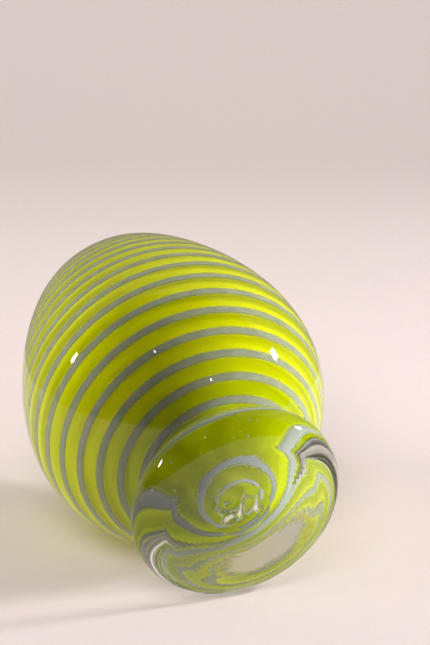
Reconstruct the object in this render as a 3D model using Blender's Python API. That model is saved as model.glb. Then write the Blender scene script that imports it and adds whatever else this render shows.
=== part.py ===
"""Blown glass vase: a lime bubble in clear glass with a grey thread wound round it, on a clear foot.

Metres, +Z up along the axis of the vase. The origin is the centre of the ring that the foot stands on.
"""

import math

import bpy
import bmesh
from mathutils import Vector

MM = 0.001

# Foot: a thick clear disc with a round edge, hollowed underneath inside the ring it stands on.
# Its top runs up in a slope and a fillet to a dished seat under the body.
FOOT_RADIUS = 37.5 * MM
FOOT_THICKNESS = 17.6 * MM
STANDING_RING_WIDTH = 3.2 * MM
RECESS_DEPTH = 5.5 * MM
SEAT_RADIUS = 25.0 * MM
SEAT_DEPTH = 1.5 * MM
TOP_SLOPE = math.radians(45)
FILLET_SLOPE = math.radians(60)
FILLET_FULLNESS = 0.35

# Outer surface of the body: radii, and heights above the lowest point of the body.
BELLY_RADIUS = 56.1 * MM
BELLY_RISE = 57.7 * MM
SHOULDER_RADIUS = 38.0 * MM
SHOULDER_RISE = 119.9 * MM
SHOULDER_LEAN = math.radians(31)
NECK_RADIUS = 17.0 * MM
NECK_RISE = 136.9 * MM
LIP_RADIUS = 19.0 * MM
LIP_RISE = 142.0 * MM

# How far each stretch of that outline runs on straight before it bends.
BASE_REACH = 26.8 * MM
BELLY_REACH_DOWN = 33.6 * MM
BELLY_REACH_UP = 20.0 * MM
SHOULDER_REACH_DOWN = 14.0 * MM
SHOULDER_REACH_UP = 15.0 * MM
NECK_REACH = 4.0 * MM
LIP_REACH = 2.0 * MM

# Layers, from the outside in.
OUTER_CASING_WALL = 0.9 * MM
INNER_CASING_WALL = 2.8 * MM
BUBBLE_WALL = 2.0 * MM
CLEARANCE = 0.3 * MM

# Thread: a flattened trail, slim where it was started. Its turns lie furthest apart at the belly,
# where the bubble swelled most.
THREAD_WIDTH = 2.9 * MM
THREAD_START_WIDTH = 1.6 * MM
THREAD_SLIM_TURNS = 4
THREAD_THICKNESS = 0.7 * MM
PITCH_AT_BELLY = 9.0 * MM
PITCH_AT_BASE = 6.5 * MM
PITCH_AT_SHOULDER = 3.6 * MM
THREAD_START = 4.0 * MM
THREAD_PAST_SHOULDER = 8.0 * MM
BELLY_CROSSING = 12

# Pontil scar: the stub of glass left in the hollow of the foot.
SCAR_RADIUS = 10.5 * MM
SCAR_EDGE = 0.5 * MM
LUMP_HEIGHT = 2.2 * MM
LUMP_RADIUS = 2.8 * MM
LUMP_COUNT = 4
LUMP_SPACING = 3.6 * MM
LUMP_STAGGER = 1.6 * MM
LUMP_ROW_ANGLE = math.radians(20)

# Colour of the clear glass.
CLEAR = (0.97, 0.98, 0.97)

# Facets round the axis, shared by every layer so that they nest.
SIDES = 32
SCAR_SIDES = 24
SCAR_RINGS = 7

# Points on each stretch of the outlines.
BASE_STEPS = 11
SHOULDER_STEPS = 7
NECK_STEPS = 5
LIP_STEPS = 3
FILLET_STEPS = 4
EDGE_STEPS = 10
RECESS_STEPS = 8
RIM_STEPS = 4

BODY_FLOOR = FOOT_THICKNESS - SEAT_DEPTH
EDGE_RADIUS = FOOT_THICKNESS / 2
EDGE_CENTRE = FOOT_RADIUS - EDGE_RADIUS
RECESS_RADIUS = EDGE_CENTRE - STANDING_RING_WIDTH
THREAD_DEPTH = OUTER_CASING_WALL + CLEARANCE
INNER_CASING_DEPTH = THREAD_DEPTH + THREAD_THICKNESS + CLEARANCE
BUBBLE_DEPTH = INNER_CASING_DEPTH + INNER_CASING_WALL + CLEARANCE


def clear_scene():
    for found in list(bpy.data.objects):
        bpy.data.objects.remove(found, do_unlink=True)


def glass(name, colour, roughness, transmission):
    material = bpy.data.materials.new(name)
    material.use_nodes = True
    shader = material.node_tree.nodes["Principled BSDF"]
    shader.inputs["Base Color"].default_value = (*colour, 1)
    shader.inputs["Roughness"].default_value = roughness
    shader.inputs["Metallic"].default_value = 0
    shader.inputs["Transmission Weight"].default_value = transmission
    shader.inputs["IOR"].default_value = 1.5
    material.diffuse_color = (*colour, 1)
    return material


def add_piece(name, mesh, material, parent):
    mesh.materials.append(material)
    piece = bpy.data.objects.new(name, mesh)
    bpy.context.collection.objects.link(piece)
    piece.parent = parent
    return piece


def bezier(start, leave, arrive, end, steps):
    """Points of a cubic curve, without its first point."""
    points = []
    for i in range(1, steps + 1):
        t = i / steps
        u = 1 - t
        points.append(start * u**3 + leave * (3 * t * u * u) + arrive * (3 * t * t * u) + end * t**3)
    return points


def body_outline():
    """Outer outline of the body as (radius, height), from the axis underneath to the lip."""
    base = Vector((0, BODY_FLOOR))
    belly = Vector((BELLY_RADIUS, BODY_FLOOR + BELLY_RISE))
    shoulder = Vector((SHOULDER_RADIUS, BODY_FLOOR + SHOULDER_RISE))
    neck = Vector((NECK_RADIUS, BODY_FLOOR + NECK_RISE))
    lip = Vector((LIP_RADIUS, BODY_FLOOR + LIP_RISE))
    up = Vector((0, 1))
    in_at_shoulder = Vector((-math.sin(SHOULDER_LEAN), math.cos(SHOULDER_LEAN)))
    before_belly = belly - up * BELLY_REACH_DOWN
    after_belly = belly + up * BELLY_REACH_UP
    before_shoulder = shoulder - in_at_shoulder * SHOULDER_REACH_DOWN
    after_shoulder = shoulder + in_at_shoulder * SHOULDER_REACH_UP
    points = [base]
    points += bezier(base, Vector((BASE_REACH, BODY_FLOOR)), before_belly, belly, BASE_STEPS)
    points += bezier(belly, after_belly, before_shoulder, shoulder, SHOULDER_STEPS)
    points += bezier(shoulder, after_shoulder, neck - up * NECK_REACH, neck, NECK_STEPS)
    points += bezier(neck, neck + up * LIP_REACH, lip - up * LIP_REACH, lip, LIP_STEPS)
    return points


def inward_normals(outline):
    """Unit normals towards the inside: upright on the axis, and level from the neck to the lip."""
    normals = [Vector((0, 1))]
    for before, after in zip(outline, outline[2 : NECK_POINT + 1]):
        along = (after - before).normalized()
        normals.append(Vector((-along.y, along.x)))
    return normals + [Vector((-1, 0))] * (LIP_STEPS + 1)


def arc_lengths(outline):
    lengths = [0.0]
    for before, after in zip(outline, outline[1:]):
        lengths.append(lengths[-1] + (after - before).length)
    return lengths


BELLY_POINT = BASE_STEPS
SHOULDER_POINT = BELLY_POINT + SHOULDER_STEPS
NECK_POINT = SHOULDER_POINT + NECK_STEPS
OUTLINE = body_outline()
NORMALS = inward_normals(OUTLINE)
LENGTHS = arc_lengths(OUTLINE)
BELLY_LENGTH = LENGTHS[BELLY_POINT]
SHOULDER_LENGTH = LENGTHS[SHOULDER_POINT]
THREAD_END = SHOULDER_LENGTH + THREAD_PAST_SHOULDER


def layer(depth):
    """The body's outline moved in by a depth."""
    return [point + normal * depth for point, normal in zip(OUTLINE, NORMALS)]


def at_length(length, depth):
    """The point at this length along the outline, moved in by a depth."""
    last = len(LENGTHS) - 2
    i = max(k for k in range(last + 1) if LENGTHS[k] <= length or k == 0)
    part = (length - LENGTHS[i]) / (LENGTHS[i + 1] - LENGTHS[i])
    point = OUTLINE[i].lerp(OUTLINE[i + 1], part)
    return point + NORMALS[i].lerp(NORMALS[i + 1], part) * depth


def length_at_radius(radius):
    """The length along the outline where it first reaches this radius, below the belly."""
    i = max(k for k in range(BELLY_POINT) if OUTLINE[k].x < radius)
    part = (radius - OUTLINE[i].x) / (OUTLINE[i + 1].x - OUTLINE[i].x)
    return LENGTHS[i] + (LENGTHS[i + 1] - LENGTHS[i]) * part


def rim(inner, outer):
    """Half-round edge from the inner end over to the outer end."""
    middle = (inner + outer) / 2
    reach = outer.x - middle.x
    points = []
    for i in range(1, RIM_STEPS):
        angle = math.pi * (1 - i / RIM_STEPS)
        points.append(middle + Vector((math.cos(angle), math.sin(angle))) * reach)
    return points


def turned(name, outline, material, parent):
    """A body turned round Z from an outline that ends on the axis and runs down its outer side."""
    mesh = bpy.data.meshes.new(name)
    vertices = [(point.x, 0, point.y) for point in outline]
    edges = [(i, i + 1) for i in range(len(vertices) - 1)]
    mesh.from_pydata(vertices, edges, [])
    piece = add_piece(name, mesh, material, parent)
    turn = piece.modifiers.new("Turn", "SCREW")
    turn.axis = "Z"
    turn.steps = SIDES
    turn.render_steps = SIDES
    turn.use_merge_vertices = True
    turn.merge_threshold = 0.00001
    turn.use_smooth_shade = True
    return piece


def vessel(name, outer, inner, material, parent):
    """A turned shell, open at the lip, between an outer and an inner outline."""
    edge = rim(inner[-1], outer[-1])
    return turned(name, inner + edge + outer[::-1], material, parent)


def lime_bubble(parent):
    """The coloured bubble that was blown first: the vase's inside is its inside."""
    material = glass("lime glass", (0.50, 0.58, 0.01), 0.08, 0.0)
    inside = layer(BUBBLE_DEPTH + BUBBLE_WALL)
    return vessel("lime_bubble", layer(BUBBLE_DEPTH), inside, material, parent)


def inner_casing(parent):
    """The first clear gather over the bubble, which carries the thread."""
    material = glass("clear inner glass", CLEAR, 0.02, 1.0)
    inside = layer(INNER_CASING_DEPTH + INNER_CASING_WALL)
    return vessel("inner_casing", layer(INNER_CASING_DEPTH), inside, material, parent)


def pitch_at(length):
    """Distance between neighbouring turns, which falls off on either side of the belly."""
    if length < BELLY_LENGTH:
        share = (BELLY_LENGTH - length) / BELLY_LENGTH
        return PITCH_AT_BELLY + (PITCH_AT_BASE - PITCH_AT_BELLY) * share**2
    share = (length - BELLY_LENGTH) / (THREAD_END - BELLY_LENGTH)
    return PITCH_AT_BELLY + (PITCH_AT_SHOULDER - PITCH_AT_BELLY) * share**2


def thread_route():
    """(step round the axis, length along the outline) of the thread, from the base to the shoulder."""
    below = []
    length = BELLY_LENGTH
    step = BELLY_CROSSING
    while length > THREAD_START:
        below.append((step, length))
        length -= pitch_at(length) / SIDES
        step -= 1
    above = []
    length = BELLY_LENGTH + pitch_at(BELLY_LENGTH) / SIDES
    step = BELLY_CROSSING + 1
    while length < THREAD_END:
        above.append((step, length))
        length += pitch_at(length) / SIDES
        step += 1
    return below[::-1] + above


def round_axis(point, step):
    angle = 2 * math.pi * step / SIDES
    return Vector((point.x * math.cos(angle), point.x * math.sin(angle), point.y))


def half_width(k):
    """Half the thread's width at this point of its route."""
    grown = min(1, k / (THREAD_SLIM_TURNS * SIDES))
    return (THREAD_START_WIDTH + (THREAD_WIDTH - THREAD_START_WIDTH) * grown) / 2


def least_gap(route):
    """Least distance between one turn's upper edge and the next turn's lower edge."""
    gaps = []
    for k, ((step, length), (_, next_length)) in enumerate(zip(route, route[SIDES:])):
        upper = round_axis(at_length(length + half_width(k), THREAD_DEPTH), step)
        lower = round_axis(at_length(next_length - half_width(k + SIDES), THREAD_DEPTH), step)
        gaps.append((lower - upper).length)
    return min(gaps)


def grey_thread(parent):
    """The trail of blue-grey glass wound in one unbroken right-hand spiral on the inner casing."""
    route = thread_route()
    shape = bmesh.new()
    rings = []
    for k, (step, length) in enumerate(route):
        half = half_width(k)
        corners = (
            at_length(length - half, THREAD_DEPTH),
            at_length(length + half, THREAD_DEPTH),
            at_length(length + half, THREAD_DEPTH + THREAD_THICKNESS),
            at_length(length - half, THREAD_DEPTH + THREAD_THICKNESS),
        )
        rings.append([shape.verts.new(round_axis(corner, step)) for corner in corners])
    for near, far in zip(rings, rings[1:]):
        for i in range(4):
            j = (i + 1) % 4
            shape.faces.new((near[i], far[i], far[j], near[j]))
    shape.faces.new(rings[0])
    shape.faces.new(rings[-1][::-1])
    bmesh.ops.recalc_face_normals(shape, faces=shape.faces)
    mesh = bpy.data.meshes.new("grey_thread")
    shape.to_mesh(mesh)
    shape.free()
    print(f"thread: {len(route) / SIDES:.1f} turns, least gap {least_gap(route) / MM:.2f} mm")
    material = glass("grey glass", (0.21, 0.26, 0.28), 0.08, 0.0)
    return add_piece("grey_thread", mesh, material, parent)


def outer_casing(parent):
    """The last clear gather, over the thread. Past the last turn it closes onto the inner casing."""
    over_thread = layer(OUTER_CASING_WALL)
    on_casing = layer(INNER_CASING_DEPTH - CLEARANCE)
    past_thread = [length for length in LENGTHS if length > THREAD_END + THREAD_WIDTH]
    closing = len(LENGTHS) - len(past_thread) + 1
    inside = over_thread[:closing] + on_casing[closing:]
    material = glass("clear outer glass", CLEAR, 0.02, 1.0)
    return vessel("outer_casing", OUTLINE, inside, material, parent)


def recess_height(radius):
    """Height of the hollow under the foot, which runs out level at the standing ring."""
    return RECESS_DEPTH * (1 - (radius / RECESS_RADIUS) ** 2) ** 2


def downhill(slope):
    """Direction outwards and down at this angle below the level."""
    return Vector((math.cos(slope), -math.sin(slope)))


def clear_foot(parent):
    """The thick disc that was dropped on hot and shaped, with a dished seat that fits the body."""
    seat_end = length_at_radius(SEAT_RADIUS)
    seat_lengths = [length for length in LENGTHS if length < seat_end] + [seat_end]
    seat = [at_length(length, -CLEARANCE) for length in seat_lengths]
    edge = []
    for i in range(EDGE_STEPS + 1):
        angle = math.pi / 2 - TOP_SLOPE - (math.pi - TOP_SLOPE) * i / EDGE_STEPS
        radius = EDGE_CENTRE + EDGE_RADIUS * math.cos(angle)
        edge.append(Vector((radius, EDGE_RADIUS * (1 + math.sin(angle)))))
    reach = (edge[0] - seat[-1]).length * FILLET_FULLNESS
    leave = seat[-1] + downhill(FILLET_SLOPE) * reach
    arrive = edge[0] - downhill(TOP_SLOPE) * reach
    fillet = bezier(seat[-1], leave, arrive, edge[0], FILLET_STEPS)
    recess = []
    for i in range(RECESS_STEPS, -1, -1):
        radius = RECESS_RADIUS * i / RECESS_STEPS
        recess.append(Vector((radius, recess_height(radius))))
    material = glass("clear foot glass", CLEAR, 0.02, 1.0)
    return turned("clear_foot", seat + fillet + edge[1:] + recess, material, parent)


def lump(x, y):
    """Height of the row of lumps at a place on the scar."""
    height = 0.0
    for i in range(LUMP_COUNT):
        along = (i - (LUMP_COUNT - 1) / 2) * LUMP_SPACING
        across = LUMP_STAGGER * (-1) ** i
        lump_x = along * math.cos(LUMP_ROW_ANGLE) - across * math.sin(LUMP_ROW_ANGLE)
        lump_y = along * math.sin(LUMP_ROW_ANGLE) + across * math.cos(LUMP_ROW_ANGLE)
        away = ((x - lump_x) ** 2 + (y - lump_y) ** 2) / LUMP_RADIUS**2
        height = max(height, LUMP_HEIGHT * math.exp(-away))
    return height


def scar_ring(shape, radius, hanging):
    """A ring of points under the hollow's roof, on the scar's flat side or on its lumpy side."""
    ring = []
    for i in range(SCAR_SIDES):
        angle = 2 * math.pi * i / SCAR_SIDES
        x = radius * math.cos(angle)
        y = radius * math.sin(angle)
        drop = CLEARANCE + hanging * (SCAR_EDGE + lump(x, y) * (1 - (radius / SCAR_RADIUS) ** 4))
        ring.append(shape.verts.new((x, y, recess_height(radius) - drop)))
    return ring


def pontil_scar(parent):
    """The broken stub where the working iron was cracked off, fused to the roof of the hollow."""
    shape = bmesh.new()
    radii = [SCAR_RADIUS * i / SCAR_RINGS for i in range(1, SCAR_RINGS + 1)]
    roof = [scar_ring(shape, radius, 0) for radius in radii]
    under = [scar_ring(shape, radius, 1) for radius in radii]
    roof_middle = shape.verts.new((0, 0, recess_height(0) - CLEARANCE))
    under_middle = shape.verts.new((0, 0, recess_height(0) - CLEARANCE - SCAR_EDGE - lump(0, 0)))
    for middle, rings in ((roof_middle, roof), (under_middle, under)):
        for i in range(SCAR_SIDES):
            shape.faces.new((middle, rings[0][i], rings[0][(i + 1) % SCAR_SIDES]))
        for near, far in zip(rings, rings[1:]):
            bmesh.ops.bridge_loops(shape, edges=ring_edges(shape, near) + ring_edges(shape, far))
    bmesh.ops.bridge_loops(shape, edges=ring_edges(shape, roof[-1]) + ring_edges(shape, under[-1]))
    bmesh.ops.recalc_face_normals(shape, faces=shape.faces)
    mesh = bpy.data.meshes.new("pontil_scar")
    shape.to_mesh(mesh)
    shape.free()
    mesh.shade_smooth()
    material = glass("clear scar glass", CLEAR, 0.03, 1.0)
    return add_piece("pontil_scar", mesh, material, parent)


def ring_edges(shape, ring):
    """The edges that join a ring's points in order, made where they are missing."""
    edges = []
    for start, end in zip(ring, ring[1:] + ring[:1]):
        edges.append(shape.edges.get((start, end)) or shape.edges.new((start, end)))
    return edges


def build_vase():
    clear_scene()
    vase = bpy.data.objects.new("vase", None)
    bpy.context.collection.objects.link(vase)
    lime_bubble(vase)
    inner_casing(vase)
    grey_thread(vase)
    outer_casing(vase)
    clear_foot(vase)
    pontil_scar(vase)


build_vase()
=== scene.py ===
import math
import random

import bmesh
import bpy
from mathutils import Matrix, Vector, noise


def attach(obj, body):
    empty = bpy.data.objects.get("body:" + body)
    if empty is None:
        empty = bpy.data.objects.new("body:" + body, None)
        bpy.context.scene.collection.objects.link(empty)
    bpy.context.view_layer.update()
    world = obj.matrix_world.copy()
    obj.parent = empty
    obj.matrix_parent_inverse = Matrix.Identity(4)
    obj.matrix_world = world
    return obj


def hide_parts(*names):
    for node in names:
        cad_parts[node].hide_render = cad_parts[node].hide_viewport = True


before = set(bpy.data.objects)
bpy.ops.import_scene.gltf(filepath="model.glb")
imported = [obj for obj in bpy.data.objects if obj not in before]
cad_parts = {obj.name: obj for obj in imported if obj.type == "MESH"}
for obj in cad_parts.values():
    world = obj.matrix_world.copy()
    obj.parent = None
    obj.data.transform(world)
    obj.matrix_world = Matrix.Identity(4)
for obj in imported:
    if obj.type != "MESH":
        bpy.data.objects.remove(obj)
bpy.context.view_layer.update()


# Lime bubble. The first gather of opaque lime glass, blown into the egg that gives the vase its shape.
# Everything else is laid over it hot, so its outside is fused and only its inside is an open surface.

MM = 0.001

FOOT_THICKNESS = 17.6 * MM
SEAT_DEPTH = 1.5 * MM
BODY_FLOOR = FOOT_THICKNESS - SEAT_DEPTH
BODY_STEPS = 60
LIP_STEPS = 12
RIM_STEPS = 10
SIDES = 144
ON_AXIS = 1e-7
BUBBLE_DEPTH = 5.3 * MM
BUBBLE_WALL = 2.0 * MM
STREAK_LENGTH = 25 * MM
STREAK_HEIGHT = 4 * MM
# Painted shade under the base: a darker, greener lime up to the first of these heights, fading into plain
# lime by the second.
BASE_SHADE_TOP = BODY_FLOOR + 14 * MM
LIME_START = BODY_FLOOR + 26 * MM


def bezier(start, leave, arrive, end, steps):
    """Points of a cubic curve, without its first point."""
    points = []
    for i in range(1, steps + 1):
        t = i / steps
        u = 1 - t
        points.append(start * u**3 + leave * (3 * t * u * u) + arrive * (3 * t * t * u) + end * t**3)
    return points


def at(radius, rise):
    """A point of the body's outline, from its radius and its height above the body's lowest point in mm."""
    return Vector((radius * MM, BODY_FLOOR + rise * MM))


# The outline runs from the base to the lip in four curves, each drawn out along the directions of its ends.
UP = Vector((0, 1))
SHOULDER_LEAN = math.radians(31)
BASE, BELLY, SHOULDER, NECK, LIP = at(0, 0), at(56.1, 57.7), at(38, 119.9), at(17, 136.9), at(19, 142)
LEAN = Vector((-math.sin(SHOULDER_LEAN), math.cos(SHOULDER_LEAN)))
OUTLINE = [BASE]
OUTLINE += bezier(BASE, at(26.8, 0), BELLY - UP * 33.6 * MM, BELLY, BODY_STEPS)
OUTLINE += bezier(BELLY, BELLY + UP * 20 * MM, SHOULDER - LEAN * 14 * MM, SHOULDER, BODY_STEPS)
OUTLINE += bezier(SHOULDER, SHOULDER + LEAN * 15 * MM, NECK - UP * 4 * MM, NECK, BODY_STEPS // 2)
OUTLINE += bezier(NECK, NECK + UP * 2 * MM, LIP - UP * 2 * MM, LIP, LIP_STEPS)

NORMALS = [UP]
for before, after in zip(OUTLINE, OUTLINE[2 : len(OUTLINE) - LIP_STEPS]):
    run = (after - before).normalized()
    NORMALS.append(Vector((-run.y, run.x)))
NORMALS += [Vector((-1, 0))] * (LIP_STEPS + 1)

LENGTHS = [0.0]
for before, after in zip(OUTLINE, OUTLINE[1:]):
    LENGTHS.append(LENGTHS[-1] + (after - before).length)


def layer(depth):
    """The body's outline moved in by a depth."""
    return [point + normal * depth for point, normal in zip(OUTLINE, NORMALS)]


def rim(inner, outer):
    """Half-round edge from the inner end over to the outer end."""
    middle = (inner + outer) / 2
    reach = outer.x - middle.x
    points = []
    for i in range(1, RIM_STEPS):
        angle = math.pi * (1 - i / RIM_STEPS)
        points.append(middle + Vector((math.cos(angle), math.sin(angle))) * reach)
    return points


def turned(name, outline, slots):
    """A closed body turned round Z. slots gives the material slot of each stretch between two points."""
    shape = bmesh.new()
    rings = []
    for point in outline:
        if point.x < ON_AXIS:
            rings.append([shape.verts.new((0, 0, point.y))])
            continue
        angles = [2 * math.pi * i / SIDES for i in range(SIDES)]
        places = [(point.x * math.cos(a), point.x * math.sin(a), point.y) for a in angles]
        rings.append([shape.verts.new(place) for place in places])
    for near, far, slot in zip(rings, rings[1:], slots):
        for i in range(SIDES):
            j = (i + 1) % SIDES
            corners = [near[i % len(near)], near[j % len(near)], far[j % len(far)], far[i % len(far)]]
            face = shape.faces.new(list(dict.fromkeys(corners)))
            face.material_index = slot
            face.smooth = True
    bmesh.ops.recalc_face_normals(shape, faces=shape.faces)
    mesh = bpy.data.meshes.new(name)
    shape.to_mesh(mesh)
    shape.free()
    piece = bpy.data.objects.new(name, mesh)
    bpy.context.collection.objects.link(piece)
    return piece


def srgb(text):
    """A linear colour from an sRGB hex value."""
    parts = [int(text[i : i + 2], 16) / 255 for i in (1, 3, 5)]
    return [p / 12.92 if p < 0.04045 else ((p + 0.055) / 1.055) ** 2.4 for p in parts] + [1]


def add_node(material, kind, inputs=(), **settings):
    """Adds a node with its settings. Its inputs take values, or links from other nodes' outputs."""
    tree = material.node_tree
    made = tree.nodes.new(kind)
    for name, value in settings.items():
        setattr(made, name, value)
    for name, value in dict(inputs).items():
        if isinstance(value, bpy.types.NodeSocket):
            tree.links.new(value, made.inputs[name])
        else:
            made.inputs[name].default_value = value
    return made


def new_material(name):
    """An empty node material."""
    material = bpy.data.materials.new(name)
    material.use_nodes = True
    material.node_tree.nodes.clear()
    return material


def lime_glass(name, shine):
    """Opaque lime soda glass: faint streaks drawn out round the bubble as it was turned, and painted shade
    under the base: a darker, greener lime that stands in for the shade there."""
    material = new_material(name)
    place = add_node(material, "ShaderNodeTexCoord")
    drawn = add_node(material, "ShaderNodeMapping", {
        "Vector": place.outputs["Object"],
        "Scale": (1 / STREAK_LENGTH, 1 / STREAK_LENGTH, 1 / STREAK_HEIGHT)})
    streaks = add_node(material, "ShaderNodeTexNoise", {
        "Vector": drawn.outputs[0], "Scale": 1.0, "Detail": 4.0})
    tone = add_node(material, "ShaderNodeValToRGB", {"Fac": streaks.outputs[0]})
    tone.color_ramp.elements[0].position = 0.3
    tone.color_ramp.elements[0].color = srgb("#B6BA03")
    tone.color_ramp.elements[1].position = 0.7
    tone.color_ramp.elements[1].color = srgb("#C6CA06")
    height = add_node(material, "ShaderNodeSeparateXYZ", {0: place.outputs["Object"]})
    # Painted shade: under the base the lime turns a darker, greener colour that stands in for the shade
    # there.
    base_shade_mask = add_node(material, "ShaderNodeMapRange", {
        "Value": height.outputs["Z"], "From Min": BASE_SHADE_TOP, "From Max": LIME_START,
        "To Min": 1.0, "To Max": 0.0}, interpolation_type="SMOOTHSTEP")
    lime_and_base_shade = add_node(material, "ShaderNodeMixRGB", {
        "Fac": base_shade_mask.outputs[0], "Color1": tone.outputs[0], "Color2": srgb("#A8B300")})
    surface = add_node(material, "ShaderNodeBsdfPrincipled", {
        "Base Color": lime_and_base_shade.outputs[0], "Roughness": 0.12, "IOR": 1.5, "Specular IOR Level": shine})
    add_node(material, "ShaderNodeOutputMaterial", {"Surface": surface.outputs[0]})
    return material


def vessel(name, outer, inner, outer_slots):
    """A turned shell, open at the lip. Its inside takes slot 1 and its rim slot 0."""
    edge = rim(inner[-1], outer[-1])
    slots = [1] * (len(inner) - 1) + [0] * (len(edge) + 1) + outer_slots
    return turned(name, inner + edge + outer[::-1], slots)


def keep(piece, slot, *nodes):
    """Shows a piece in place of its CAD nodes. The slot is not used."""
    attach(piece, "root")
    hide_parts(*nodes)


OPEN = [0] * (len(OUTLINE) - 1)
lime_bubble = vessel("lime_bubble_glass", layer(BUBBLE_DEPTH), layer(BUBBLE_DEPTH + BUBBLE_WALL), OPEN)
lime_bubble.data.materials.append(lime_glass("lime glass fused", 0.0))
lime_bubble.data.materials.append(lime_glass("lime glass inside", 0.5))
keep(lime_bubble, "lime_glass", "lime_bubble")


# Inner casing. The first clear gather over the lime bubble, about 3 mm of soda glass that carries the thread.
# Both its faces are fused to hot glass of the same kind, so they can't be seen. Only its edge at the lip is
# open.

INNER_CASING_DEPTH = 2.2 * MM
INNER_CASING_WALL = 2.8 * MM


def clear_glass(name, surface_marks=None, falloff=5.0):
    """Clear soda glass. It bends what is behind it, and lamps shine through it onto the colour underneath,
    less so at a slant; a low falloff takes more of their light."""
    material = new_material(name)
    glass = add_node(material, "ShaderNodeBsdfPrincipled", {
        "Base Color": srgb("#FBFDFB"), "Roughness": 0.0, "IOR": 1.5, "Transmission Weight": 1.0})
    facing = add_node(material, "ShaderNodeLayerWeight", {"Blend": 0.5})
    lost = add_node(material, "ShaderNodeMath", {0: facing.outputs["Facing"], 1: falloff}, operation="POWER")
    passed = add_node(material, "ShaderNodeMath", {0: 1.0, 1: lost.outputs[0]}, operation="SUBTRACT")
    lamp = add_node(material, "ShaderNodeBsdfTransparent", {"Color": passed.outputs[0]})
    path = add_node(material, "ShaderNodeLightPath")
    both = add_node(material, "ShaderNodeMixShader", {
        0: path.outputs["Is Shadow Ray"], 1: glass.outputs[0], 2: lamp.outputs[0]})
    add_node(material, "ShaderNodeOutputMaterial", {"Surface": both.outputs[0]})
    if surface_marks:
        surface_marks(material, glass)
    return material


def fused_seam():
    """Two gathers of the same glass melted together: nothing shows where they meet."""
    material = new_material("fused glass seam")
    clear = add_node(material, "ShaderNodeBsdfTransparent")
    add_node(material, "ShaderNodeOutputMaterial", {"Surface": clear.outputs[0]})
    return material


FUSED = fused_seam()
inner_casing = vessel("inner_casing_glass", layer(INNER_CASING_DEPTH),
                      layer(INNER_CASING_DEPTH + INNER_CASING_WALL), [1] * len(OPEN))
inner_casing.data.materials.append(clear_glass("clear soda glass, inner gather"))
inner_casing.data.materials.append(FUSED)
keep(inner_casing, "clear_inner_glass", "inner_casing")


# Grey thread. A trail of opaque blue-grey glass, dropped on hot and wound in one right-hand spiral as the
# bubble was turned. Blowing flattened it and drew its turns apart, most of all at the belly.

THREAD_WIDTH = 3.7 * MM
THREAD_THICKNESS = 0.7 * MM
THREAD_DEPTH = 1.2 * MM
PITCH_AT_BELLY = 9.0 * MM
PITCH_AT_BASE = 6.5 * MM
PITCH_AT_SHOULDER = 3.6 * MM
THREAD_START = 4.0 * MM
BELLY_LENGTH = LENGTHS[BODY_STEPS]
THREAD_END = LENGTHS[2 * BODY_STEPS] + 8 * MM
BELLY_ANGLE = math.radians(135)
TURN_STEPS = 96
THREAD_SIDES = 14
SLIM_TURNS = 4
SLIM_SHARE = 0.49
END_SHARE = 0.25
END_STEPS = TURN_STEPS / 4
SWELL = 0.10
SWELL_RATE = 0.7
SIDE_ROUNDING = 0.5
FACE_ROUNDING = 0.4
EDGE_START = 0.45
CLOUD_SIZE = 4.5 * MM
THICK_TRAIL_TOP = BODY_FLOOR + 3 * MM
THIN_TRAIL_START = BODY_FLOOR + 12 * MM


def at_length(length, depth):
    """The point at this length along the outline, moved in by a depth."""
    i = max(k for k in range(len(LENGTHS) - 1) if LENGTHS[k] <= length or k == 0)
    part = (length - LENGTHS[i]) / (LENGTHS[i + 1] - LENGTHS[i])
    return OUTLINE[i].lerp(OUTLINE[i + 1], part) + NORMALS[i].lerp(NORMALS[i + 1], part) * depth


def pitch_at(length):
    """Distance between neighbouring turns, which falls off on either side of the belly."""
    if length < BELLY_LENGTH:
        share = (BELLY_LENGTH - length) / BELLY_LENGTH
        return PITCH_AT_BELLY + (PITCH_AT_BASE - PITCH_AT_BELLY) * share**2
    share = (length - BELLY_LENGTH) / (THREAD_END - BELLY_LENGTH)
    return PITCH_AT_BELLY + (PITCH_AT_SHOULDER - PITCH_AT_BELLY) * share**2


route = []
length, angle = BELLY_LENGTH, BELLY_ANGLE
while length > THREAD_START:
    route.insert(0, (angle, length))
    length -= pitch_at(length) / TURN_STEPS
    angle -= 2 * math.pi / TURN_STEPS
length, angle = BELLY_LENGTH + PITCH_AT_BELLY / TURN_STEPS, BELLY_ANGLE + 2 * math.pi / TURN_STEPS
while length < THREAD_END:
    route.append((angle, length))
    length += pitch_at(length) / TURN_STEPS
    angle += 2 * math.pi / TURN_STEPS

shape = bmesh.new()
thin_edge = shape.verts.layers.float.new("thin_edge")
rings = []
for k, (angle, length) in enumerate(route):
    taper = min(1, END_SHARE + min(k, len(route) - 1 - k) / END_STEPS)
    slim = min(1, SLIM_SHARE + (1 - SLIM_SHARE) * k / (SLIM_TURNS * TURN_STEPS))
    swell = slim * (1 + SWELL * noise.noise(Vector((angle * SWELL_RATE, 0, 0))))
    ring = []
    for i in range(THREAD_SIDES):
        turn = 2 * math.pi * i / THREAD_SIDES
        side = math.copysign(abs(math.cos(turn)) ** SIDE_ROUNDING, math.cos(turn))
        face = math.copysign(abs(math.sin(turn)) ** FACE_ROUNDING, math.sin(turn))
        across = side * THREAD_WIDTH / 2 * taper * swell
        down = face * THREAD_THICKNESS / 2 * taper
        point = at_length(length + across, THREAD_DEPTH + THREAD_THICKNESS / 2 + down)
        vert = shape.verts.new((point.x * math.cos(angle), point.x * math.sin(angle), point.y))
        vert[thin_edge] = max(0, (abs(side) - EDGE_START) / (1 - EDGE_START))
        ring.append(vert)
    rings.append(ring)
for near, far in zip(rings, rings[1:]):
    for i in range(THREAD_SIDES):
        j = (i + 1) % THREAD_SIDES
        shape.faces.new((near[i], near[j], far[j], far[i])).smooth = True
shape.faces.new(rings[0])
shape.faces.new(rings[-1])
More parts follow.
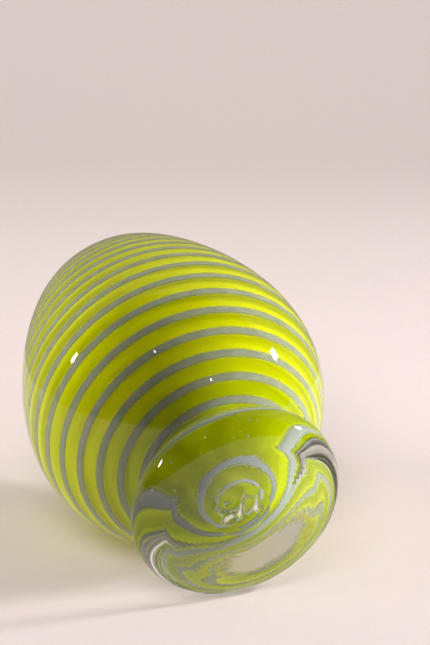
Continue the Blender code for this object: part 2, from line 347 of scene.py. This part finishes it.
bmesh.ops.recalc_face_normals(shape, faces=shape.faces)
mesh = bpy.data.meshes.new("grey_thread_trail")
shape.to_mesh(mesh)
shape.free()
grey_thread = bpy.data.objects.new("grey_thread_trail", mesh)
bpy.context.collection.objects.link(grey_thread)


def grey_glass():
    """Grey soda glass. Blue-grey where it lies thickest, under the base; drawn out thin round the belly it
    takes a little of the lime behind it, most of all at its edges. Its shadow on the lime is faint."""
    material = new_material("grey glass trail")
    place = add_node(material, "ShaderNodeTexCoord")
    cloud = add_node(material, "ShaderNodeTexNoise", {
        "Vector": place.outputs["Object"], "Scale": 1 / CLOUD_SIZE, "Detail": 3.0})
    thin = add_node(material, "ShaderNodeValToRGB", {"Fac": cloud.outputs[0]})
    thin.color_ramp.elements[0].position = 0.3
    thin.color_ramp.elements[0].color = srgb("#828871")
    thin.color_ramp.elements[1].position = 0.7
    thin.color_ramp.elements[1].color = srgb("#91967F")
    height = add_node(material, "ShaderNodeSeparateXYZ", {0: place.outputs["Object"]})
    drawn_out = add_node(material, "ShaderNodeMapRange", {
        "Value": height.outputs["Z"], "From Min": THICK_TRAIL_TOP, "From Max": THIN_TRAIL_START})
    body = add_node(material, "ShaderNodeMixRGB", {
        "Fac": drawn_out.outputs[0], "Color1": srgb("#9BA3A5"), "Color2": thin.outputs[0]})
    edge = add_node(material, "ShaderNodeAttribute", attribute_name="thin_edge")
    tone = add_node(material, "ShaderNodeMixRGB", {
        "Fac": edge.outputs["Fac"], "Color1": body.outputs[0], "Color2": srgb("#96993C")})
    surface = add_node(material, "ShaderNodeBsdfPrincipled", {
        "Base Color": tone.outputs[0], "Roughness": 0.3, "IOR": 1.5, "Specular IOR Level": 0.0})
    clear = add_node(material, "ShaderNodeBsdfTransparent")
    soft = add_node(material, "ShaderNodeMixShader", {
        0: edge.outputs["Fac"], 1: surface.outputs[0], 2: clear.outputs[0]})
    lamp = add_node(material, "ShaderNodeBsdfTransparent", {"Color": srgb("#DCDDD2")})
    path = add_node(material, "ShaderNodeLightPath")
    both = add_node(material, "ShaderNodeMixShader", {
        0: path.outputs["Is Shadow Ray"], 1: soft.outputs[0], 2: lamp.outputs[0]})
    add_node(material, "ShaderNodeOutputMaterial", {"Surface": both.outputs[0]})
    return material


grey_thread.data.materials.append(grey_glass())
keep(grey_thread, "grey_glass", "grey_thread")


# Outer casing. The last clear gather, 1 mm over the thread, fire-polished at the lip.
# It is the only surface of the body that meets the air, apart from the seat that the foot is fused to.

OUTER_CASING_WALL = 0.9 * MM
SEAT_RADIUS = 25.0 * MM
CASING_GAP = 0.3 * MM
WAVE_LENGTH = 15 * MM


def blown_surface(material, glass):
    """The slow waviness of glass that was blown and turned, about 15 mm from crest to crest."""
    place = add_node(material, "ShaderNodeTexCoord")
    waves = add_node(material, "ShaderNodeTexNoise", {
        "Vector": place.outputs["Object"], "Scale": 1 / WAVE_LENGTH, "Detail": 1.0})
    bump = add_node(material, "ShaderNodeBump", {
        "Height": waves.outputs[0], "Strength": 0.05, "Distance": 2 * MM})
    material.node_tree.links.new(bump.outputs[0], glass.inputs["Normal"])


seat_points = [k for k in range(BODY_STEPS) if OUTLINE[k].x < SEAT_RADIUS]
seat_part = (SEAT_RADIUS - OUTLINE[len(seat_points) - 1].x) / (
    OUTLINE[len(seat_points)].x - OUTLINE[len(seat_points) - 1].x)
seat_end = LENGTHS[len(seat_points) - 1] + seat_part * (
    LENGTHS[len(seat_points)] - LENGTHS[len(seat_points) - 1])
under_seat = [OUTLINE[k] for k in seat_points] + [at_length(seat_end, 0)]
casing_outer = under_seat + OUTLINE[len(seat_points):]
past_thread = INNER_CASING_DEPTH - CASING_GAP
inside = [at_length(length, OUTER_CASING_WALL if length < THREAD_END else past_thread)
          for length in LENGTHS[:-1]] + [LIP - Vector((past_thread, 0))]
outer_slots = [0] * (len(casing_outer) - len(under_seat)) + [1] * (len(under_seat) - 1)
outer_casing = vessel("outer_casing_glass", casing_outer, inside, outer_slots)
outer_casing.data.materials.append(clear_glass("clear soda glass, outer gather", blown_surface))
outer_casing.data.materials.append(FUSED)
keep(outer_casing, "clear_outer_glass", "outer_casing")


# Clear foot. A thick bit of clear glass dropped on under the body and pressed to a disc with a round edge.
# Its underside is drawn in, so that the vase stands on a narrow ring.

FOOT_RADIUS = 37.5 * MM
EDGE_RADIUS = FOOT_THICKNESS / 2
EDGE_CENTRE = FOOT_RADIUS - EDGE_RADIUS
RECESS_RADIUS = EDGE_CENTRE - 3.2 * MM
RECESS_DEPTH = 5.5 * MM
TOP_SLOPE = math.radians(45)
FILLET_SLOPE = math.radians(60)
FILLET_FULLNESS = 0.35
SCAR_RADIUS = 10.5 * MM
SEAM = 0.04 * MM
FILLET_STEPS = 24
EDGE_STEPS = 96
UNDER_STEPS = 144
RIPPLE_SPACING = 1.6 * MM
RIPPLE_HEIGHT = 0.008 * MM
RIPPLE_DRIFT = 1.5 * MM
RIPPLE_PATCH = 9 * MM
RIPPLE_FADE = 3 * MM
RIPPLE_RUN_OUT = 5 * MM
RIPPLE_LEAST = 0.2
RIPPLE_MEAN = 0.8
SCUFF_RADIUS = 27.6 * MM
SCUFF_WIDTH = 2.2 * MM
SCUFF_GRAIN = 0.8 * MM
SCUFF_RISE = 0.5 * MM
# Air seeds in the foot: how many, over which arc in degrees, and their places and sizes in mm.
SEED_COUNT = 10
SEED_ARC = (-125, -35)
SEED_RADII = (27, 33)
SEED_HEIGHTS = (5, 12)
SEED_SIZES = (0.15, 0.35)


def recess_height(radius):
    """Height of the underside, hollow inside the standing ring and running out level towards it."""
    return RECESS_DEPTH * max(0, 1 - (radius / RECESS_RADIUS) ** 2) ** 2


def downhill(slope):
    """Direction outwards and down at this angle below the level."""
    return Vector((math.cos(slope), -math.sin(slope)))


def worn_ring(material, glass):
    """Grey scuffs in the glass along the ring that the foot has stood on."""
    place = add_node(material, "ShaderNodeTexCoord")
    flat = add_node(material, "ShaderNodeVectorMath", {
        0: place.outputs["Object"], 1: (1, 1, 0)}, operation="MULTIPLY")
    radius = add_node(material, "ShaderNodeVectorMath", {0: flat.outputs[0]}, operation="LENGTH")
    on_ring = add_node(material, "ShaderNodeMath", {
        0: radius.outputs["Value"], 1: SCUFF_RADIUS, 2: SCUFF_WIDTH}, operation="COMPARE")
    low = add_node(material, "ShaderNodeSeparateXYZ", {0: place.outputs["Object"]})
    under = add_node(material, "ShaderNodeMath", {0: low.outputs["Z"], 1: SCUFF_RISE}, operation="LESS_THAN")
    grit = add_node(material, "ShaderNodeTexNoise", {
        "Vector": place.outputs["Object"], "Scale": 1 / SCUFF_GRAIN, "Detail": 3.0})
    marks = add_node(material, "ShaderNodeMapRange", {
        "Value": grit.outputs[0], "From Min": 0.58, "From Max": 0.72, "To Min": 0.0, "To Max": 0.5})
    worn = add_node(material, "ShaderNodeMath", {
        0: on_ring.outputs[0], 1: under.outputs[0]}, operation="MULTIPLY")
    scuffs = add_node(material, "ShaderNodeMath", {
        0: worn.outputs[0], 1: marks.outputs[0]}, operation="MULTIPLY")
    material.node_tree.links.new(scuffs.outputs[0], glass.inputs["Roughness"])


seat = [point - normal * SEAM for point, normal in zip(under_seat, NORMALS)]
edge = []
for i in range(EDGE_STEPS + 1):
    angle = math.pi / 2 - TOP_SLOPE - (math.pi - TOP_SLOPE) * i / EDGE_STEPS
    edge.append(Vector((EDGE_CENTRE + EDGE_RADIUS * math.cos(angle), EDGE_RADIUS * (1 + math.sin(angle)))))
fillet_reach = (edge[0] - seat[-1]).length * FILLET_FULLNESS
fillet = bezier(seat[-1], seat[-1] + downhill(FILLET_SLOPE) * fillet_reach,
                edge[0] - downhill(TOP_SLOPE) * fillet_reach, edge[0], FILLET_STEPS)
under_radii = [EDGE_CENTRE * i / UNDER_STEPS for i in range(UNDER_STEPS)]
under_radii = sorted(set(under_radii + [SCAR_RADIUS]), reverse=True)
underside = [Vector((radius, recess_height(radius))) for radius in under_radii]
fused_ring = [radius for radius in under_radii if radius <= SCAR_RADIUS]
foot_outline = seat + fillet + edge[1:] + underside
open_steps = len(foot_outline) - len(seat) - len(fused_ring) + 1
foot_slots = [1] * (len(seat) - 1) + [0] * open_steps + [1] * (len(fused_ring) - 1)
clear_foot = turned("clear_foot_glass", foot_outline, foot_slots)

shape = bmesh.new()
shape.from_mesh(clear_foot.data)


def ripple(x, y):
    """Height of the uneven fine rings that the tool left under the foot as it was turned."""
    radius = math.hypot(x, y)
    place = Vector((x, y, 0)) / RIPPLE_PATCH
    depth = max(RIPPLE_LEAST, RIPPLE_MEAN + noise.noise(place * 1.7 + Vector((7, 0, 0))))
    from_scar, to_edge = max(0, radius - SCAR_RADIUS), max(0, EDGE_CENTRE - radius)
    fade = min(1, from_scar / RIPPLE_FADE, to_edge / RIPPLE_RUN_OUT)
    waves = (radius + RIPPLE_DRIFT * noise.noise(place)) / RIPPLE_SPACING
    return RIPPLE_HEIGHT * depth * fade * math.sin(2 * math.pi * waves)


for vert in shape.verts:
    if vert.co.z < RECESS_DEPTH:
        vert.co.z += ripple(vert.co.x, vert.co.y)

chance = random.Random(4)
for i in range(SEED_COUNT):
    angle = math.radians(chance.uniform(*SEED_ARC))
    radius, height = chance.uniform(*SEED_RADII) * MM, chance.uniform(*SEED_HEIGHTS) * MM
    place = Matrix.Translation((radius * math.cos(angle), radius * math.sin(angle), height))
    size = chance.uniform(*SEED_SIZES) * MM
    seed = bmesh.ops.create_icosphere(shape, subdivisions=2, radius=size, matrix=place)
    faces = list({face for vert in seed["verts"] for face in vert.link_faces})
    bmesh.ops.reverse_faces(shape, faces=faces)
    for face in faces:
        face.smooth = True
shape.to_mesh(clear_foot.data)
shape.free()
clear_foot.data.materials.append(clear_glass("clear soda glass, foot", worn_ring, falloff=1.8))
clear_foot.data.materials.append(FUSED)
clear_foot.data.set_sharp_from_angle(angle=math.radians(40))
keep(clear_foot, "clear_foot_glass", "clear_foot")


# Pontil scar. The stub of clear glass that stayed on the foot where the iron was cracked off, softened
# again in the fire. It sits in the hollow, clear of the table, and is fused to the roof of the hollow.

SCAR_SIDES = 180
SCAR_RINGS = 64
SCAR_EDGE = 0.5 * MM
DROP_FULLNESS = 2.4
DROP_SWELL = 3
# Each drop under the foot in mm: its thin end, its fat end, and its half width at either.
DROPS = (
    ((7.8, -0.8), (4.7, 3.8), 0.6, 1.8),
    ((5.5, -1.9), (4.7, -3.7), 0.7, 0.8),
    ((4.7, -3.7), (-0.7, 1.4), 0.8, 1.7),
    ((-2.0, -1.4), (-4.2, -0.6), 0.8, 1.7),
    ((-4.2, -0.6), (-6.0, -1.2), 1.7, 1.8),
    ((-3.6, -3.6), (-4.7, -5.2), 0.9, 1.5),
    ((-0.6, -6.1), (-1.7, -7.3), 0.7, 1.1),
)


def lump(x, y):
    """Height of the drops of glass at a place on the scar."""
    place = Vector((x, y))
    height = 0.0
    for thin, fat, neck, head in DROPS:
        thin, fat = Vector(thin) * MM, Vector(fat) * MM
        part = min(1, max(0, (place - thin).dot(fat - thin) / (fat - thin).length_squared))
        width = (neck + (head - neck) * part**DROP_SWELL) * MM
        away = min(1, (place - thin.lerp(fat, part)).length / width)
        height = max(height, DROP_FULLNESS * width * math.sqrt(1 - away**2))
    return height


def scar_ring(shape, radius, hanging):
    """A ring of points on the roof of the hollow, or where hanging is 1 on the drops below it."""
    ring = []
    for i in range(SCAR_SIDES if radius else 1):
        angle = 2 * math.pi * i / SCAR_SIDES
        x, y = radius * math.cos(angle), radius * math.sin(angle)
        fall = 1 - (radius / SCAR_RADIUS) ** 4
        drop = SEAM + hanging * (SCAR_EDGE * min(1, 4 * (1 - radius / SCAR_RADIUS)) + lump(x, y) * fall)
        ring.append(shape.verts.new((x, y, recess_height(radius) - drop)))
    return ring


shape = bmesh.new()
radii = [SCAR_RADIUS * i / SCAR_RINGS for i in range(SCAR_RINGS + 1)]
roof = [scar_ring(shape, radius, 0) for radius in radii[:-1]]
under = [scar_ring(shape, radius, 1) for radius in radii]
for rings, slot in ((roof + [under[-1]], 1), (under, 0)):
    for near, far in zip(rings, rings[1:]):
        for i in range(SCAR_SIDES):
            j = (i + 1) % SCAR_SIDES
            corners = [near[i % len(near)], near[j % len(near)], far[j], far[i]]
            face = shape.faces.new(list(dict.fromkeys(corners)))
            face.material_index = slot
            face.smooth = True
bmesh.ops.recalc_face_normals(shape, faces=shape.faces)
mesh = bpy.data.meshes.new("pontil_scar_glass")
shape.to_mesh(mesh)
shape.free()
pontil_scar = bpy.data.objects.new("pontil_scar_glass", mesh)
bpy.context.collection.objects.link(pontil_scar)
pontil_scar.data.materials.append(clear_glass("clear soda glass, broken and remelted"))
pontil_scar.data.materials.append(FUSED)
keep(pontil_scar, "clear_scar_glass", "pontil_scar")


# Table. The pale sheet that the vase lies on, which sweeps up behind it. The vase is modelled upright, so the
# sheet leans against its side and touches it at the belly and at the edge of the foot.

SHEET_NORMAL = Vector((0.67268, -0.67268, 0.30823)).normalized()
SHEET_AWAY = Vector((0.05506, 0.46092, 0.88573)).normalized()
SHEET_RIGHT = SHEET_AWAY.cross(SHEET_NORMAL)
ORIGIN_ABOVE_SHEET = 33.6 * MM
SHEET_FOOT = SHEET_NORMAL * -ORIGIN_ABOVE_SHEET
FIBRE_SIZE = 1.1 * MM


def pale_paper(name, darker, lighter, mirrored_share):
    """Matt pale paper, dimmed where glass mirrors it. Seen from its back it isn't there, so that other views
    aren't blocked by it."""
    material = new_material(name)
    place = add_node(material, "ShaderNodeTexCoord")
    fibre = add_node(material, "ShaderNodeTexNoise", {
        "Vector": place.outputs["Object"], "Scale": 1 / FIBRE_SIZE, "Detail": 2.0})
    tone = add_node(material, "ShaderNodeValToRGB", {"Fac": fibre.outputs[0]})
    tone.color_ramp.elements[0].color = srgb(darker)
    tone.color_ramp.elements[1].color = srgb(lighter)
    paper = add_node(material, "ShaderNodeBsdfPrincipled", {
        "Base Color": tone.outputs[0], "Roughness": 0.8, "Specular IOR Level": 0.1})
    clear = add_node(material, "ShaderNodeBsdfTransparent")
    side = add_node(material, "ShaderNodeNewGeometry")
    path = add_node(material, "ShaderNodeLightPath")
    mirrored = add_node(material, "ShaderNodeMath", {
        0: path.outputs["Is Glossy Ray"], 1: path.outputs["Is Transmission Ray"]},
        operation="SUBTRACT", use_clamp=True)
    dimmed = add_node(material, "ShaderNodeMath", {
        0: mirrored.outputs[0], 1: 1 - mirrored_share}, operation="MULTIPLY")
    hidden = add_node(material, "ShaderNodeMath", {
        0: side.outputs["Backfacing"], 1: dimmed.outputs[0]}, operation="MAXIMUM")
    both = add_node(material, "ShaderNodeMixShader", {
        0: hidden.outputs[0], 1: paper.outputs[0], 2: clear.outputs[0]})
    add_node(material, "ShaderNodeOutputMaterial", {"Surface": both.outputs[0]})
    return material


TABLE_PAPER = pale_paper("pale matt paper on the table", "#E6D8D7", "#ECDEDD", mirrored_share=0.8)
WALL_PAPER = pale_paper("pale matt paper of the wall", "#E6D8D7", "#ECDEDD", mirrored_share=0.35)
FLOOR_PAPER = pale_paper("grey matt paper of the floor", "#B9B1B0", "#BFB7B6", mirrored_share=0.0)
COVE_START = 150 * MM
COVE_RADIUS = 120 * MM
SHEET_REACH = 1.2
COVE_STEPS = 24
profile = [(-SHEET_REACH, 0.0), (-SHEET_REACH / 2, 0.0), (-SHEET_REACH / 4, 0.0), (0.0, 0.0)]
TABLE_STRIPS = len(profile) + COVE_STEPS // 2
for i in range(COVE_STEPS + 1):
    angle = math.pi / 2 * i / COVE_STEPS
    profile.append((COVE_START + COVE_RADIUS * math.sin(angle), COVE_RADIUS * (1 - math.cos(angle))))
profile.append((COVE_START + COVE_RADIUS, SHEET_REACH))
vertices = []
for away, rise in profile:
    for right in (-SHEET_REACH, SHEET_REACH):
        vertices.append(SHEET_FOOT + SHEET_AWAY * away + SHEET_NORMAL * rise + SHEET_RIGHT * right)
faces = [(2 * i, 2 * i + 1, 2 * i + 3, 2 * i + 2) for i in range(len(profile) - 1)]


def stage_paper(name, points, faces, *papers):
    """A surface of the stage. It casts no shadow."""
    mesh = bpy.data.meshes.new(name)
    mesh.from_pydata(points, [], faces)
    mesh.shade_smooth()
    paper = bpy.data.objects.new(name, mesh)
    bpy.context.collection.objects.link(paper)
    for material in papers:
        paper.data.materials.append(material)
    paper.visible_shadow = False
    return paper


# The lower half of the sweep counts as table, and the sheet throws no light on the floor that it crosses.
sheet = stage_paper("pale_sheet", vertices, faces, TABLE_PAPER, WALL_PAPER)
for face in sheet.data.polygons:
    face.material_index = 0 if face.index < TABLE_STRIPS else 1
sheet.visible_diffuse = False

FLOOR_DROP = 0.6 * MM
FLOOR_REACH = 8
corners = [(x * FLOOR_REACH, y * FLOOR_REACH, -FLOOR_DROP) for x, y in ((-1, -1), (1, -1), (1, 1), (-1, 1))]
floor = stage_paper("pale_floor", corners, [(0, 1, 2, 3)], FLOOR_PAPER)
floor.visible_diffuse = False
floor.visible_glossy = False


# Light and camera. Lamps at the left and right light the vase, and two beams stand for the light that comes
# off the table under it. The sheet and the floor have lamps of their own, and soft light from the room, so
# that they stay pale.

ROOM_ON_GLASS = 0.03
ROOM_ON_PAPER = 0.3
ROOM_SEEN = 0.85
world = bpy.data.worlds.new("pale room")
bpy.context.scene.world = world
world.use_nodes = True
world.node_tree.nodes.clear()
path = add_node(world, "ShaderNodeLightPath")
shown = add_node(world, "ShaderNodeMapRange", {
    "Value": path.outputs["Is Camera Ray"], "To Min": ROOM_ON_GLASS, "To Max": ROOM_SEEN})
level = add_node(world, "ShaderNodeMath", {
    0: path.outputs["Is Diffuse Ray"], 1: ROOM_ON_PAPER, 2: shown.outputs[0]}, operation="MULTIPLY_ADD")
room = add_node(world, "ShaderNodeBackground", {"Color": srgb("#F2E8E4"), "Strength": level.outputs[0]})
add_node(world, "ShaderNodeOutputWorld", {"Surface": room.outputs[0]})
world.cycles.sampling_method = "NONE"


MIDDLE = Vector((0, 0, 70 * MM))
UNDER_BODY = Vector((0, 0, BODY_FLOOR))
BEAM_ANGLE = math.radians(22)
BEAM_RADIUS = 30 * MM


def set_up(light, right, away, rise, aim):
    """Puts a lamp at a distance right, away and up from the point that it is aimed at."""
    stand = bpy.data.objects.new(light.name, light)
    bpy.context.collection.objects.link(stand)
    place = aim + SHEET_RIGHT * right + SHEET_AWAY * away + SHEET_NORMAL * rise
    facing = (place - aim).normalized()
    across = SHEET_NORMAL.cross(facing).normalized()
    upright = facing.cross(across)
    stand.matrix_world = Matrix.Translation(place) @ Matrix((across, upright, facing)).transposed().to_4x4()
    stand.visible_transmission = False
    return stand


def lamp(name, right, away, rise, width, height, watts):
    """A soft lamp aimed at the middle of the vase."""
    light = bpy.data.lights.new(name, "AREA")
    light.shape = "RECTANGLE"
    light.size = width
    light.size_y = height
    light.energy = watts
    return set_up(light, right, away, rise, MIDDLE)


def beam(name, right, away, rise, watts, aim):
    """Light that comes off the table in a narrow beam, fading out to its edge."""
    light = bpy.data.lights.new(name, "SPOT")
    light.spot_size = BEAM_ANGLE
    light.spot_blend = 1.0
    light.shadow_soft_size = BEAM_RADIUS
    light.energy = watts
    return set_up(light, right, away, rise, aim)


left_lamp = lamp("left lamp", -1.84, 0.10, 0.76, 0.08, 0.18, 10)
left_soft = lamp("left soft lamp", -1.90, 0.50, 0.38, 0.7, 0.7, 46)
right_lamp = lamp("right lamp", 1.82, 0.26, 0.80, 0.18, 0.18, 14)
right_soft = lamp("right soft lamp", 1.70, 0.20, 1.02, 0.7, 0.7, 54)
low = beam("light from the right", 0.38, 0.03, -0.01, 10.5, UNDER_BODY + SHEET_RIGHT * 14 * MM)
below = beam("light from the table", -0.10, -0.06, -0.34, 2.5, UNDER_BODY - SHEET_RIGHT * 10 * MM)
lamp("left ceiling spot", -0.42, -1.20, 1.54, 0.05, 0.05, 0.3)
lamp("right ceiling spot", 0.90, -1.48, 1.00, 0.05, 0.05, 0.3)
behind = lamp("lamp behind", -0.57, 1.46, -1.28, 1.0, 1.0, 45)
front_fill = lamp("sheet lamp in front", -0.20, -1.50, 1.25, 1.0, 1.0, 27)
side_fill = lamp("sheet lamp at the side", 1.60, 0.08, 0.95, 0.28, 0.28, 22)
for stand in (left_soft, right_soft, low, below, behind, front_fill, side_fill):
    stand.visible_glossy = False

light = bpy.data.lights.new("floor lamp", "SUN")
light.energy = 4.3
light.angle = math.radians(25)
floor_lamp = bpy.data.objects.new("floor lamp", light)
bpy.context.collection.objects.link(floor_lamp)
floor_lamp.rotation_euler = (math.radians(25), math.radians(-15), 0)
floor_lamp.visible_glossy = False
floor_lamp.visible_transmission = False


def light_only(stand, pieces):
    """Lets a lamp light these objects alone."""
    lit = bpy.data.collections.new(stand.name + " lights")
    for piece in pieces:
        lit.objects.link(piece)
    stand.light_linking.receiver_collection = lit


vase = [lime_bubble, inner_casing, grey_thread, outer_casing, clear_foot, pontil_scar]
for stand in (front_fill, side_fill):
    light_only(stand, [sheet])
for stand in (left_lamp, left_soft, right_lamp, right_soft, low, below, behind):
    light_only(stand, vase)
light_only(floor_lamp, [floor])

eye = bpy.data.cameras.new("camera")
eye.lens = 85
eye.sensor_fit = "VERTICAL"
eye.sensor_height = 36
camera = bpy.data.objects.new("camera", eye)
bpy.context.collection.objects.link(camera)
RIGHT = Vector((0.73788, 0.57884, -0.34709))
ABOVE = Vector((0.66719, -0.54790, 0.50464))
BACK = Vector((0.10194, -0.60394, -0.79048))
CAMERA_PLACE = Vector((88.77, -352.89, -369.93)) * MM
turn = Matrix((RIGHT, ABOVE, BACK)).transposed().to_4x4()
camera.matrix_world = Matrix.Translation(CAMERA_PLACE) @ turn
bpy.context.scene.camera = camera

scene = bpy.context.scene
scene.view_settings.view_transform = "Standard"
scene.cycles.max_bounces = 20
scene.cycles.transmission_bounces = 20
scene.cycles.transparent_max_bounces = 40
scene.cycles.caustics_reflective = False
scene.cycles.use_denoising = True
